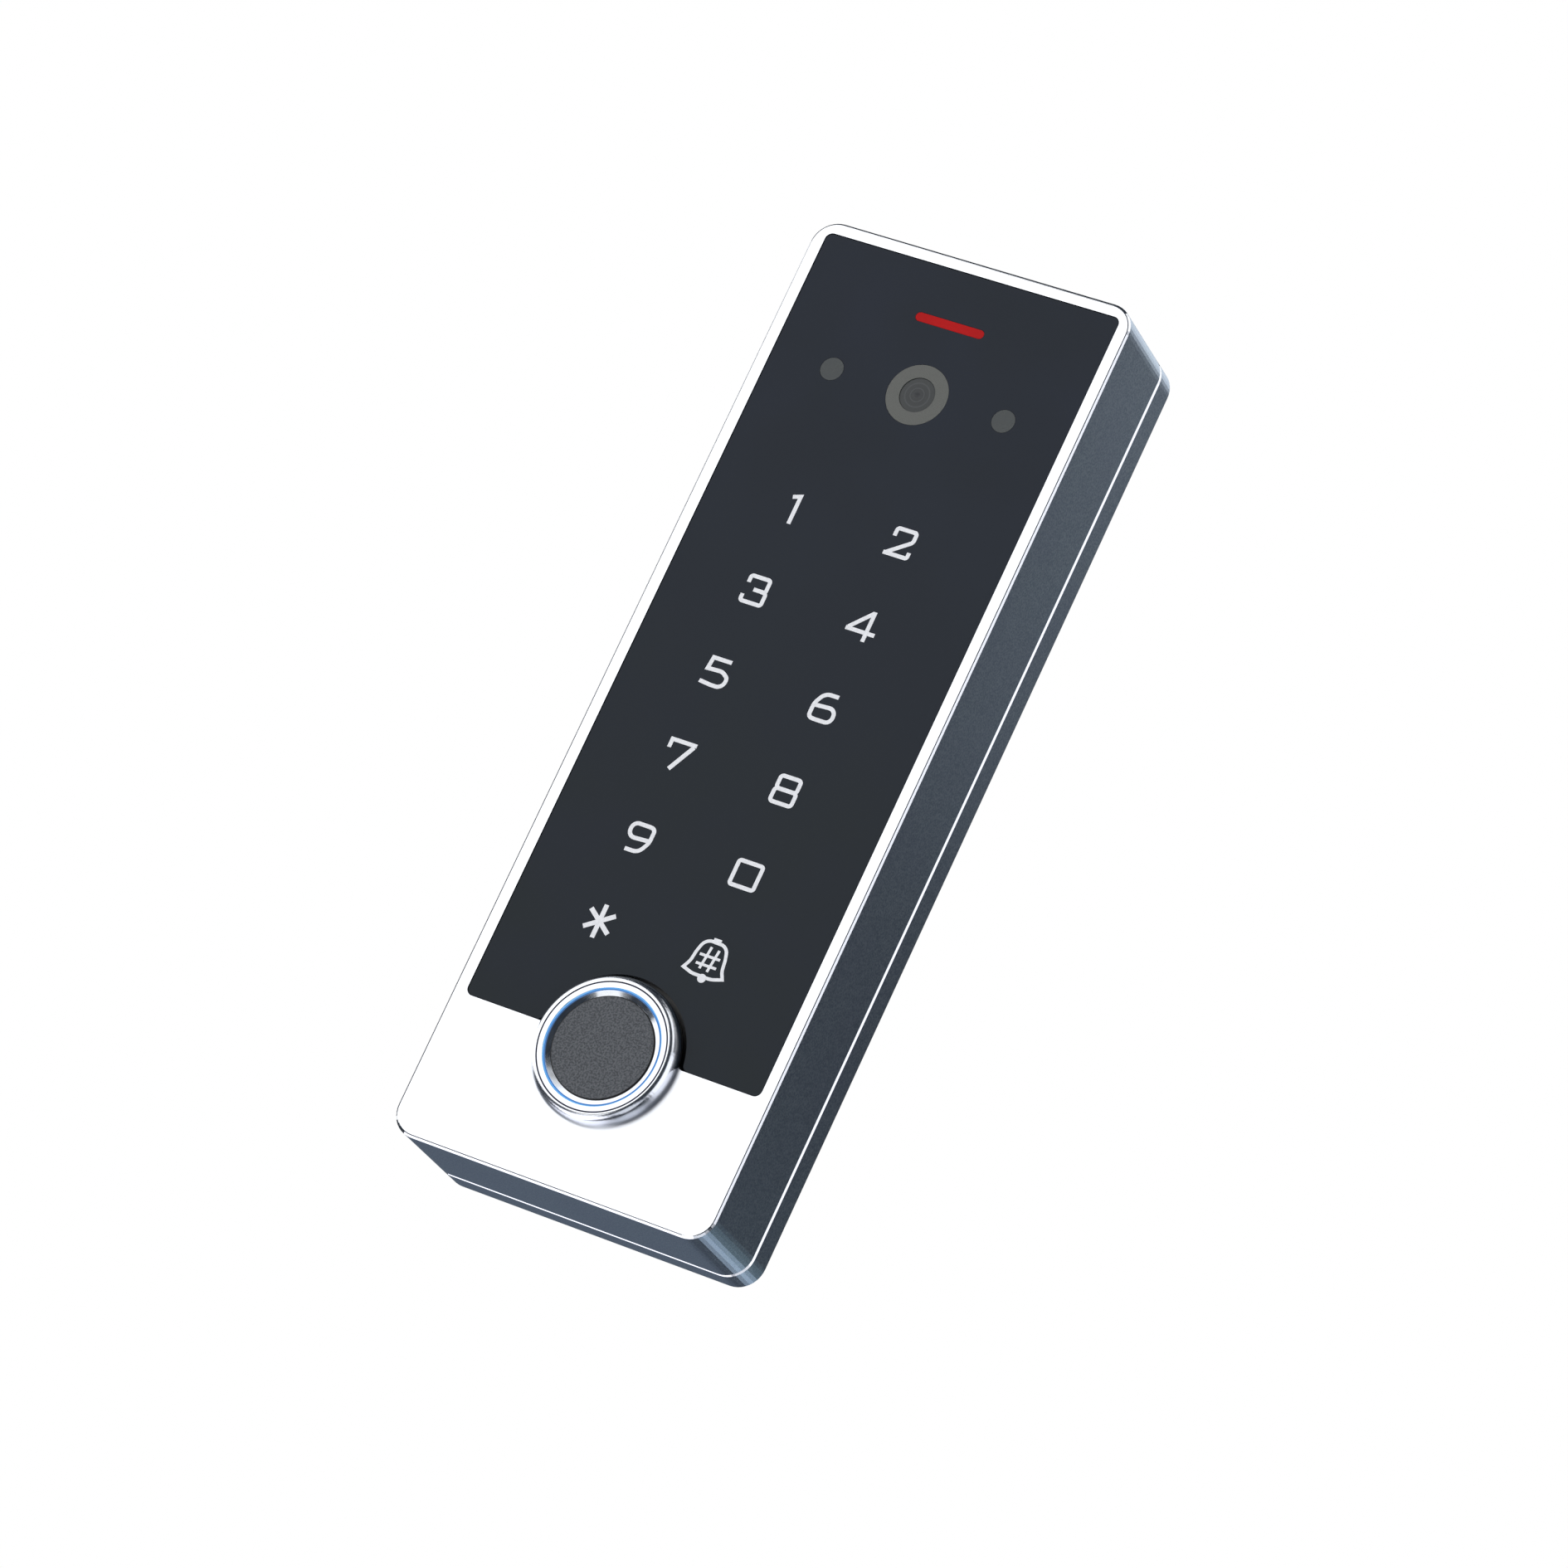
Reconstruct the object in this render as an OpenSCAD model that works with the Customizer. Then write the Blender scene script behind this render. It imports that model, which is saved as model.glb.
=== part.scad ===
// Wall-mounted access terminal: a metal case with a black glass touch keypad,
// a camera, a status bar and a round fingerprint reader.
//
// X runs across the face, Z up the wall, and Y from the face into the wall.
// The origin is the middle of the wall plane, and the front face is at y = -body_d.
// Depths called t are measured from the front face towards the wall.

/* [Case] */
// Width of the case
body_w = 56; // [56:0.5:60]
// Height of the case
body_h = 158; // [158:0.5:164]
// Depth from the front face to the wall
body_d = 22.5; // [22.5:0.5:26]
// Radius of the case corners
corner_r = 4.2; // [3:0.1:5]
// Thickness of the side walls
wall_t = 2.2; // [2:0.1:2.4]
// Thickness of the front wall
face_t = 3; // [3:0.1:3.2]
// Depth at which the front shell meets the rear cover
seam_t = 17.3; // [17.3:0.1:17.6]
// Polished bevel round the front face
front_bevel = 0.3; // [0.2:0.1:0.8]
// Polished bevels on both sides of the seam
seam_bevel = 0.4; // [0.2:0.1:0.6]

/* [Touch panel] */
// Width of the glass
panel_w = 51.5; // [50:0.1:52]
// Height of the top edge of the glass above the middle of the case
panel_top = 76.9; // [76:0.1:77]
// Height of the bottom edge of the glass
panel_bottom = -55.4; // [-56:0.1:-54]
// Thickness of the glass
panel_t = 1.5; // [1:0.1:1.6]
// Radius of the corners of the glass
panel_r = 1.1; // [0.6:0.1:1.6]
// How far the glass lies below the metal face
panel_sink = 0.12; // [0.05:0.01:0.2]

/* [Keypad] */
// Height of the top row of keys
keys_top = 32.6; // [30:0.1:34]
// Distance between rows
key_pitch = 14.15; // [13:0.05:14.2]
// Distance between the two columns
key_gap = 18.95; // [17:0.05:21]
// Sideways shift of the two columns from the middle of the case
keys_x = -1.1; // [-1.5:0.1:1.5]
// Width of the strokes of the figures
stroke = 0.65; // [0.5:0.05:0.7]

/* [Camera and status bar] */
// Height of the camera above the middle of the case
camera_z = 55.9; // [54:0.1:57]
// Radius of the ring round the lens
camera_ring_r = 5.05; // [4.5:0.05:5.3]
// Radius of the front lens
lens_r = 2.85; // [2.4:0.05:3]
// Distance of each infrared window from the camera
window_x = 15.1; // [14:0.1:16]
// Radius of an infrared window
window_r = 1.9; // [1.5:0.05:2.1]
// Height of the status bar
bar_z = 68.1; // [66:0.1:70]
// Length of the status bar
bar_w = 11.9; // [8:0.1:13]
// Height of the status bar from edge to edge
bar_h = 1.45; // [1:0.05:2.2]

/* [Fingerprint reader] */
// Height of the reader's axis
ring_z = -56.7; // [-57:0.1:-56]
// Radius of the bezel at the face
ring_r = 11.85; // [11.8:0.05:12.1]
// How far the bezel stands out of the face
ring_proud = 2.5; // [2:0.1:3]
// Radius of the sensing pad
pad_r = 8.2; // [7.8:0.05:8.2]

/* [Wall plate] */
// Distance between the outer pair of wall screws
wall_pitch = 83.5; // [83:0.1:84]
// Distance between the inner pair of wall screws
box_pitch = 60; // [59:0.1:61]
// Radius of the wall screw holes
wall_hole_r = 2.2; // [2:0.1:2.4]
// Thickness of the wall plate
plate_t = 1.5; // [1.2:0.1:1.6]

/* [Cable outlet] */
// Radius of the hole for the cable
cable_r = 3.5; // [2.5:0.1:4]

/* [Hidden] */
$fn = 64;
hull_fn = 40;
cut = 0.5;                              // how far a cutting shape runs past a face
gap = 0.05;                             // clearance between pieces that fit together
in_w = body_w - 2 * wall_t;             // inside of the side walls
in_h = body_h - 2 * wall_t;
in_r = corner_r - wall_t;
floor_t = seam_t + 1.4;                 // rear face of the cover's floor
plate_front = body_d - plate_t;
pocket_t = panel_sink + panel_t + 0.2;  // floor of the recess for the glass
notch_r = ring_r + 0.6;                 // cut-out in the glass round the bezel
post_x = 22.3;                          // corner posts for the cover screws
post_z = 74.2;
board_post_x = 21.5;                    // posts for the main board
board_post_top = 63.5;
board_post_bottom = -62.5;
board_t = 10.5;                         // front face of the main board
board_back = board_t + 1.6;
camera_board_t = 8;
lens_dome = 30;                         // radius of the front of the lens
touch_board_t = face_t + 0.2;
touch_board_top = 44;
touch_board_bottom = -43.8;
barrel_r = 10.6;                        // threaded barrel of the fingerprint reader
bore_r = ring_r - 2.4;                  // bore of the bezel
seal_r = ring_r - 0.7;                  // middle of the seal under the bezel
glow_w = 0.12;                          // width of the lit ring at the top
pivot_z = 77.9;                         // tips of the plate's tabs, where the terminal tilts
tab_x = 13;
tab_w = 10;
tamper_x = -12;
reset_x = 12;
switch_z = -58;
tamper_travel = 1.2;
tamper_t = board_back + 2.6;            // inner end of the tamper plunger at rest
keys = [for (row = [0:5], side = [-1, 1])
    [keys_x + side * key_gap / 2, keys_top - row * key_pitch]];

// ---- Shared shapes -------------------------------------------------------

// A flat outline, drawn as the front is seen, filling the depths t0 to t1
module slab(t0, t1)
    translate([0, t1 - body_d, 0]) rotate([90, 0, 0]) linear_extrude(t1 - t0) children();

// A round bar along the depth
module rod(x, z, t0, t1, r)
    translate([x, t1 - body_d, z]) rotate([90, 0, 0]) cylinder(r = r, h = t1 - t0);

// A rectangular block centred on x, z
module block(x, z, w, h, t0, t1)
    translate([x - w / 2, t0 - body_d, z - h / 2]) cube([w, t1 - t0, h]);

// A turned piece on an axis through x, z: the profile is [radius, height out of the face]
module turned(x, z)
    translate([x, -body_d, z]) rotate([90, 0, 0]) rotate_extrude() children();

// A rectangle in a turned piece's profile, from radius r0 to r1 and depth t0 to t1
module band(r0, r1, t0, t1) translate([r0, -t1]) square([r1 - r0, t1 - t0]);

module rounded(w, h, r) {
    square([w - 2 * r, h], center = true);
    square([w, h - 2 * r], center = true);
    for (x = [-1, 1], z = [-1, 1])
        translate([x * (w / 2 - r), z * (h / 2 - r)]) circle(r);
}

// A rounded rectangle between two heights, centred across the case
module panel_rect(w, z0, z1, r) translate([0, (z0 + z1) / 2]) rounded(w, z1 - z0, r);

// The outer form of the case between two depths. Its front edge is bevelled, and a finer facet,
// edge wide and 0.4 of that deep, eases the bevel into the face. The rear edge may be bevelled too.
module case_form(t0, t1, bevel, edge = 0, rear_bevel = 0)
    hull() for (x = [-1, 1], z = [-1, 1])
        translate([x * (body_w / 2 - corner_r), t1 - body_d, z * (body_h / 2 - corner_r)])
            rotate([90, 0, 0]) {
                cylinder(r = corner_r - rear_bevel, h = rear_bevel + 0.1, $fn = hull_fn);
                translate([0, 0, rear_bevel])
                    cylinder(r = corner_r, h = t1 - t0 - bevel - rear_bevel, $fn = hull_fn);
                cylinder(r = corner_r - bevel, h = t1 - t0 - edge * 0.4, $fn = hull_fn);
                cylinder(r = corner_r - bevel - edge, h = t1 - t0, $fn = hull_fn);
            }

module at_posts(z_list, x) for (z = z_list, side = [-1, 1]) translate([side * x, 0, z]) children();

// A machine screw along the depth: the head starts at t and the shank runs towards the face
module screw(t, head_r, head_h, shank_r, length)
    difference() {
        union() {
            rod(0, 0, t, t + head_h, head_r);
            rod(0, 0, t - length, t + cut, shank_r);
        }
        block(0, 0, head_r * 1.3, 0.5, t + head_h - 0.6, t + head_h + cut);
        block(0, 0, 0.5, head_r * 1.3, t + head_h - 0.6, t + head_h + cut);
    }

// ---- Line art for the key legends and bent strips ------------------------

function unit(v) = v / norm(v);
function left_of(v) = [-v[1], v[0]];

// A path with its corners turned into arcs: each point is [x, z, radius]
function smooth(p, steps = 6) = [for (i = [0:len(p) - 1])
    let (at = [p[i][0], p[i][1]], r = p[i][2])
    if (i == 0 || i == len(p) - 1 || r == 0) at
    else
        let (a = unit([p[i - 1][0], p[i - 1][1]] - at), b = unit([p[i + 1][0], p[i + 1][1]] - at),
            half = acos(max(-1, min(1, a * b))) / 2,
            mid = at + unit(a + b) * r / sin(half),
            start = at + a * r / tan(half), end = at + b * r / tan(half),
            turn = 180 - 2 * half,
            side = sign(cross(start - mid, end - mid)))
        for (k = [0:steps])
            let (w = side * turn * k / steps, d = start - mid)
            mid + [d[0] * cos(w) - d[1] * sin(w), d[0] * sin(w) + d[1] * cos(w)]];

// The offset of each point of an open path to its left, with mitred corners
function offset_line(p, d) = [for (i = [0:len(p) - 1])
    let (a = i == 0 ? unit(p[1] - p[0]) : unit(p[i] - p[i - 1]),
        b = i == len(p) - 1 ? a : unit(p[i + 1] - p[i]),
        n = unit(left_of(a) + left_of(b)))
    p[i] + n * d / (n * left_of(a))];

module line(p, w) {
    q = smooth(p);
    back = offset_line(q, -w / 2);
    polygon(concat(offset_line(q, w / 2), [for (i = [len(q) - 1:-1:0]) back[i]]));
}

module frame(w, h, r, line_w) difference() {
    rounded(w + line_w, h + line_w, r + line_w / 2);
    rounded(w - line_w, h - line_w, r - line_w / 2 + 0.01);
}

module six() {
    line([[1.45, 2.2, 0], [-0.9, 2.2, 1.6], [-1.95, 0.3, 2.5], [-1.95, -2.1, 0.7],
        [-1, -2.1, 0]], stroke);
    line([[-1.8, 0.05, 0], [1.9, 0.28, 1.1], [1.9, -2.13, 1], [-1.1, -2.13, 0]], stroke);
}

// The twelve legends, each drawn about the middle of its key
module legend(i) {
    if (i == 0) line([[-1.15, 1.85, 0], [0.1, 2.25, 0], [0.1, -2.45, 0]], stroke);
    if (i == 1) {
        line([[-1.68, 0.85, 0], [-1.68, 2.2, 0.4], [1.68, 2.2, 0.4], [1.68, 0.6, 0.8],
            [-2.05, -2.15, 0]], stroke);
        line([[-2.3, -2.1, 0], [1.8, -2.1, 0.36], [1.8, -1.1, 0]], stroke);
    }
    if (i == 2) {
        line([[-1.75, 1, 0], [-1.75, 2.2, 0.4], [1.62, 2.2, 0.4], [1.62, 0.1, 0.36],
            [-0.45, 0.1, 0]], stroke);
        line([[0.9, 0.06, 0], [1.8, 0.06, 0.5], [1.8, -2.1, 0.4], [-1.85, -2.1, 0.4],
            [-1.85, -1, 0]], stroke);
    }
    if (i == 3) {
        line([[0.95, -2.5, 0], [0.95, 2.55, 0]], stroke);
        line([[0.85, 2.3, 0], [-2.25, -0.85, 0]], stroke);
        line([[-2.6, -1.05, 0], [2.4, -1.05, 0]], stroke);
    }
    if (i == 4) line([[1.6, 2.15, 0], [-1.6, 2.15, 0], [-1.8, 0.25, 0], [0.8, 0.38, 1.6],
        [1.95, -0.4, 0.7], [1.9, -2.15, 1.2], [-0.2, -2.15, 1.6], [-2.2, -1.95, 0]], stroke);
    if (i == 5) six();
    if (i == 6) {
        line([[-2, 0.75, 0], [-2, 2.15, 0], [2.3, 2.15, 0]], stroke);
        line([[1.93, 1.85, 0], [-0.5, -2.5, 0]], stroke * 1.1);
    }
    if (i == 7) {
        translate([0, 1.15]) frame(3.5, 2.1, 0.5, stroke);
        translate([0, -1.02]) frame(3.7, 2.2, 0.5, stroke);
    }
    if (i == 8) rotate(180) six();
    if (i == 9) translate([0, -0.1]) frame(4.15, 4, 0.4, stroke);
    if (i == 10) for (a = [90, 35, 145])
        rotate(a) square([a == 90 ? 5.5 : 5.3, stroke + 0.1], center = true);
    if (i == 11) translate([0.35, 0]) bell();
}

// A doorbell with a hash sign in it
module bell() {
    half = [[-0.3, 2.75, 0], [1.9, 2.75, 1.6], [2.5, 0.6, 4], [2.75, -1.1, 3], [3.4, -2.3, 0],
        [1.7, -2.85, 4], [-0.3, -2.85, 0]];
    line_w = stroke * 0.8;
    line(half, line_w);
    translate([0, 0.03]) mirror([1, 0]) line(half, line_w);
    translate([0, 3.1]) square([1.3, 0.6], center = true);
    translate([0.2, -3.1]) circle(0.7, $fn = 24);
    for (x = [-0.65, 0.75]) rotate(-7) translate([x, 0]) square([0.42, 3.7], center = true);
    for (z = [0.4, -1.05]) translate([-0.05, z]) square([3.5, 0.42], center = true);
}

// ---- Wall plate ----------------------------------------------------------

module wall_plate() color("silver") {
    slab(plate_front, body_d) difference() {
        rounded(in_w - 1, in_h - 1, 2);
        rounded(26, 22, 2);
        for (side = [-1, 1]) {
            translate([0, side * wall_pitch / 2]) circle(wall_hole_r);
            translate([0, side * box_pitch / 2]) circle(wall_hole_r);
        }
        translate([tamper_x, switch_z]) circle(2);
        for (z = [-60, -64]) translate([0, z]) circle(1.2);
    }
    for (side = [-1, 1])
        block(side * tab_x, pivot_z - 1.3, tab_w, 2.6, plate_front, body_d);
}

// A sprung leaf whose tip drops into a groove inside the lower rim
module catch_spring() color("lightsteelblue")
    difference() {
        translate([-5, 0, 0]) rotate([90, 0, 90]) linear_extrude(10)
            line([[-plate_t - 0.25, -57, 0], [-plate_t - 0.25, -70, 2],
                [-2.7, -75.4, 2], [-2.7, 0.4 - in_h / 2 - 0.8, 0]], 0.4);
        for (z = [-60, -64]) rod(0, z, 0, body_d, 1.25);
    }

module catch_rivets() color("gray")
    for (z = [-60, -64]) {
        rod(0, z, plate_front - 1, body_d - gap, 1.15);
        rod(0, z, plate_front - 1.2, plate_front - 0.5, 2);
    }

// ---- Case ----------------------------------------------------------------

module glass_outline(grow, ring)
    offset(r = panel_r + grow) offset(r = -panel_r) difference() {
        translate([-panel_w / 2, panel_bottom]) square([panel_w, panel_top - panel_bottom]);
        translate([0, ring_z]) circle(ring, $fn = 96);
    }

module front_shell() color("whitesmoke")
    difference() {
        union() {
            difference() {
                case_form(0, seam_t, front_bevel, 0.14, seam_bevel);
                slab(face_t, seam_t + cut) rounded(in_w, in_h, in_r);
            }
            at_posts([-post_z, post_z], post_x) rod(0, 0, face_t - 0.5, seam_t - gap, 2.9);
            at_posts([board_post_bottom, board_post_top], board_post_x)
                rod(0, 0, face_t - 0.5, board_t, 2.4);
        }
        slab(-cut, pocket_t) glass_outline(0.12, ring_r - 0.15);
        slab(0, face_t + cut) {
            panel_rect(41, -42.5, 41, 1);
            translate([0, bar_z]) square([14, 4.4], center = true);
            translate([0, camera_z]) circle(camera_ring_r + 0.6);
            for (side = [-1, 1]) translate([side * window_x, camera_z]) circle(2.6);
        }
        rod(0, ring_z, -cut, face_t + cut, barrel_r + 0.1);
        slab(seam_t - 0.8, seam_t + cut)
            frame(body_w - wall_t, body_h - wall_t, corner_r - wall_t / 2, 1);
        at_posts([-post_z, post_z], post_x) rod(0, 0, 8, seam_t + cut, 1.05);
        at_posts([board_post_bottom, board_post_top], board_post_x)
            rod(0, 0, 6, board_t + cut, 0.8);
    }

module rear_cover() color("lightgray")
    difference() {
        case_form(seam_t, body_d, seam_bevel);
        slab(floor_t, body_d + cut) rounded(in_w, in_h, in_r);
        // pockets that hang on the plate's tabs, and the relief that lets the case tilt
        for (side = [-1, 1])
            block(side * tab_x, in_h / 2, tab_w + 0.6, 2 * (pivot_z + 0.35 - in_h / 2),
                plate_front - 0.4, body_d + cut);
        translate([0, 0, body_h / 2]) rotate([45, 0, 0])
            cube([body_w + 1, 1.2, 1.2], center = true);
        // groove for the catch
        block(0, -in_h / 2, 11, 1.6, floor_t, body_d - 0.8);
        rod(0, 0, seam_t - cut, floor_t + cut, 6.55);
        rod(reset_x, switch_z, seam_t - cut, floor_t + cut, 1);
        rod(tamper_x, switch_z, seam_t - cut, floor_t + cut, 1.6);
        at_posts([-post_z, post_z], post_x) rod(0, 0, seam_t - cut, floor_t + cut, 1.4);
    }

module case_seal() color("dimgray")
    slab(seam_t - 0.75, seam_t - gap)
        frame(body_w - wall_t, body_h - wall_t, corner_r - wall_t / 2, 0.8);

module cover_screws() color("silver")
    at_posts([-post_z, post_z], post_x) screw(floor_t, 2.2, 1.4, 1, 8);

module cable_grommet() color("black")
    turned(0, 0) difference() {
        union() {
            band(0, 8, seam_t - 1.1, seam_t - gap);
            band(0, 6.5, seam_t - 1, floor_t + 0.5);
            band(0, 8, floor_t + gap, floor_t + 0.7);
        }
        band(-1, cable_r, seam_t - 2, floor_t + 2);
    }

// ---- Touch panel and keypad ----------------------------------------------

module touch_panel() color("black")
    slab(panel_sink, panel_sink + panel_t) difference() {
        glass_outline(0, notch_r);
        translate([0, bar_z]) rounded(bar_w + 2 * gap, bar_h + 2 * gap, bar_h / 2 + gap - 0.01);
        translate([0, camera_z]) circle(camera_ring_r + gap);
        for (side = [-1, 1]) translate([side * window_x, camera_z]) circle(window_r + gap);
    }

// Adhesive frame that holds the glass in its recess
module panel_tape() color("dimgray")
    slab(panel_sink + panel_t, pocket_t) {
        difference() {
            panel_rect(50, 44, 76, 1);
            translate([0, bar_z]) square([14, 4.4], center = true);
            translate([0, camera_z]) circle(camera_ring_r + 0.8);
            for (side = [-1, 1]) translate([side * window_x, camera_z]) circle(2.8);
        }
        for (side = [-1, 1]) translate([side * 23, 0.5]) square([4, 84], center = true);
    }

module key_legends() color("white")
    slab(panel_sink - 0.05, panel_sink)
        for (i = [0:11]) translate(keys[i]) legend(i);

module light_guide() color("aliceblue")
    difference() {
        slab(panel_sink + panel_t + 0.05, touch_board_t - 0.1) panel_rect(40, -42, 40.5, 1);
        for (k = keys) block(k[0], k[1], 2.4, 1.8, 2.2, face_t + 1);
    }

module key_leds() color("lemonchiffon")
    for (k = keys) block(k[0], k[1], 2, 1.25, touch_board_t - 0.85, touch_board_t);

module board_tape() color("dimgray")
    slab(face_t, touch_board_t)
        for (side = [-1, 1]) translate([side * 21.8, 0]) square([2, 80], center = true);

module touch_board() color("darkgreen")
    slab(touch_board_t, touch_board_t + 1)
        panel_rect(46.4, touch_board_bottom, touch_board_top, 1);

module rfid_coil() color("peru")
    slab(touch_board_t + 1, touch_board_t + 1.3) frame(38, 76, 4, 3);

module ferrite_sheet() color("dimgray")
    slab(touch_board_t + 1.3, touch_board_t + 1.6) rounded(44, 82, 1);

// A flat ribbon cable: a path of [depth, height, bend radius], extruded across the case
module flex(x, w, path) color("orange")
    translate([x - w / 2, -body_d, 0]) rotate([90, 0, 90]) linear_extrude(w) line(path, 0.15);

module touch_flex()
    flex(-12, 6, [[touch_board_t + 1.1, 43, 0], [6.6, 43, 0.6], [6.6, 36, 1],
        [board_t - 0.55, 36, 0.6], [board_t - 0.55, 33, 0]]);

// ---- Status bar ----------------------------------------------------------

module bar_outline(shrink) rounded(bar_w - shrink, bar_h - shrink, (bar_h - shrink) / 2 - 0.01);

module status_lens() color("crimson")
    slab(panel_sink, panel_sink + panel_t) translate([0, bar_z]) bar_outline(0);

module light_pipe() color("lightcyan")
    slab(panel_sink + panel_t, camera_board_t - 1) translate([0, bar_z]) bar_outline(0.2);

module status_leds() color("lemonchiffon")
    for (x = [-4, 0, 4]) block(x, bar_z, 1.6, 1.2, camera_board_t - 0.8, camera_board_t);

// ---- Camera --------------------------------------------------------------

module camera_bezel() color("gray")
    turned(0, camera_z) difference() {
        band(0, camera_ring_r, panel_sink, panel_sink + 1.3);
        band(-1, lens_r + gap, 0, 3);
    }

module camera_lens() color("slategray")
    turned(0, camera_z) intersection() {
        band(0, lens_r, panel_sink, panel_sink + 1.4);
        translate([0, -panel_sink - lens_dome]) circle(lens_dome, $fn = 720);
    }

module lens_barrel() color("black")
    turned(0, camera_z) {
        band(1.6, 3.4, panel_sink + 1.45, 6.4);
        band(0, 2, 3.4, 4);
    }

module lens_holder() color("black")
    difference() {
        union() {
            rod(0, camera_z, 3.6, 6.6, 4.4);
            block(0, camera_z, 9.4, 9.4, 6, camera_board_t);
        }
        rod(0, camera_z, 3, 6.5, 3.45);
        block(0, camera_z, 7.4, 7.4, 6.45, camera_board_t + 1);
    }

module image_sensor() color("darkslategray")
    block(0, camera_z, 5.4, 5, camera_board_t - 0.8, camera_board_t);

module camera_board() color("darkgreen")
    slab(camera_board_t, camera_board_t + 0.8) panel_rect(37, 48, 72, 1);

module camera_flex()
    flex(8, 8, [[camera_board_t + 0.1, 47.9, 0], [camera_board_t + 0.1, 45, 0.6],
        [board_t - 0.55, 43, 0.6], [board_t - 0.55, 40, 0]]);

module ir_window(side) color("dimgray")
    rod(side * window_x, camera_z, panel_sink, panel_sink + 1.4, window_r);

module ir_leds() color("lightcyan")
    for (side = [-1, 1]) {
        rod(side * window_x, camera_z, 4.2, camera_board_t, 1.5);
        translate([side * window_x, 4.2 - body_d, camera_z]) sphere(1.5);
        rod(side * window_x, camera_z, camera_board_t - 1, camera_board_t, 1.9);
    }

// ---- Fingerprint reader --------------------------------------------------

// The bezel's shoulder is a quarter of an ellipse between a short upright wall and the flat top
module bezel_ring() color("silver") {
    flat_r = ring_r - 1.4;
    wall_h = 0.2;
    shoulder = [for (a = [0:6:90])
        [flat_r + (ring_r - flat_r) * cos(a), wall_h + (ring_proud - wall_h) * sin(a)]];
    turned(0, ring_z) difference() {
        union() {
            polygon(concat([[bore_r, 0], [ring_r, 0]], shoulder, [[bore_r, ring_proud]]));
            band(bore_r, barrel_r, -1, face_t + 3);
        }
        // the fine groove round the flat top, and the groove for the seal
        band(flat_r - 0.2, flat_r - 0.04, -ring_proud - 1, 0.12 - ring_proud);
        band(seal_r - 0.3, seal_r + 0.3, -0.5, 1);
    }
}

module ring_seal() color("black")
    turned(0, ring_z) translate([seal_r, 0.25]) circle(0.25);

module light_ring() color("deepskyblue")
    turned(0, ring_z) {
        band(bore_r - gap - glow_w, bore_r - gap, 0.15 - ring_proud, 2);
        band(8.3, bore_r - gap, 1, 2);
    }

module sensor_collar() color("silver") {
    outer = bore_r - 2 * gap - glow_w;
    rim = 0.15;
    turned(0, ring_z) difference() {
        band(7, outer, 0.2 - ring_proud, 0.95);
        polygon([[pad_r + 0.06, 1.95], [outer - rim, ring_proud - 0.2],
            [outer - rim, ring_proud + 1], [6, ring_proud + 1], [6, 0.2], [pad_r + 0.06, 0.2]]);
    }
}

module sensor_pad() color("dimgray")
    turned(0, ring_z) {
        band(0, pad_r - 0.15, -2.1, -1.1);
        band(0, pad_r, -1.95, -1.1);
        intersection() {
            translate([pad_r - 0.15, 1.95]) circle(0.15);
            band(pad_r - 0.16, pad_r, -2.1, -1.9);
        }
    }

module sensor_board() color("darkgreen") turned(0, ring_z) band(0, pad_r, -1.1, -0.22);

module led_board() color("darkgreen") turned(0, ring_z) band(3.4, bore_r - 0.15, 2.7, 3.3);

module ring_leds() color("lemonchiffon")
    for (a = [0:45:315])
        translate([0, 0, ring_z]) rotate([0, a, 0]) translate([0, 0, -ring_z])
            block(8.2, ring_z, 1, 1.4, 2.1, 2.7);

module sensor_holder() color("black")
    turned(0, ring_z) {
        band(3.4, bore_r - gap, 5, 5.9);
        band(8.2, bore_r - gap, 3.35, 5.5);
    }

module sensor_nut() color("silver")
    difference() {
        slab(face_t + 0.05, face_t + 2) translate([0, ring_z]) circle(13.6, $fn = 6);
        rod(0, ring_z, 0, face_t + 3, barrel_r + 0.03);
    }

module sensor_flex()
    flex(0, 5, [[0.3, ring_z, 0], [7.4, ring_z, 0.8], [7.4, -51, 0.8],
        [board_t - 0.55, -49.5, 0.8], [board_t - 0.55, -46.5, 0]]);

// ---- Main board and what it carries --------------------------------------

module main_board() color("darkgreen")
    slab(board_t, board_back) difference() {
        panel_rect(48.4, -68.5, 68.5, 2);
        for (z = [board_post_bottom, board_post_top], side = [-1, 1])
            translate([side * board_post_x, z]) circle(1.1);
    }

module board_screws() color("silver")
    at_posts([board_post_bottom, board_post_top], board_post_x)
        screw(board_back, 1.8, 1.2, 0.75, 5);

module processor() color("black") block(0, 4, 13, 13, board_t - 1.2, board_t);

module shield_can() color("silver")
    difference() {
        block(0, 4, 19, 17, board_t - 2.4, board_t);
        block(0, 4, 18.4, 16.4, board_t - 2.1, board_t + 1);
    }

module memory_chips() color("black")
    for (x = [-17, 17]) block(x, 4, 8, 10, board_t - 1, board_t);

module radio_module() color("silver")
    difference() {
        union() {
            block(0, -22, 16, 18, board_t - 0.8, board_t);
            block(0, -24.5, 14, 12, board_t - 2.4, board_t - 0.5);
        }
        for (x = [-6:2:6]) rod(x, -31, board_t - 1, board_t + 1, 0.3);
    }

module lock_relay() color("royalblue")
    block(-14, 24, 14, 20, board_back, board_back + 4.8);

module buzzer() color("black")
    turned(13, 26) difference() {
        band(0, 5, board_back, board_back + 4.6);
        band(-1, 1, board_back + 2, board_back + 6);
    }

// Plug-in terminal block for the supply, lock and bell wires
module wire_terminal() color("limegreen")
    difference() {
        block(0, -24, 30, 9, board_back, board_back + 4.9);
        for (i = [-3.5:3.5]) block(i * 3.6, -19.4, 2.4, 6, board_back + 1.2, board_back + 3.8);
    }

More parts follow.
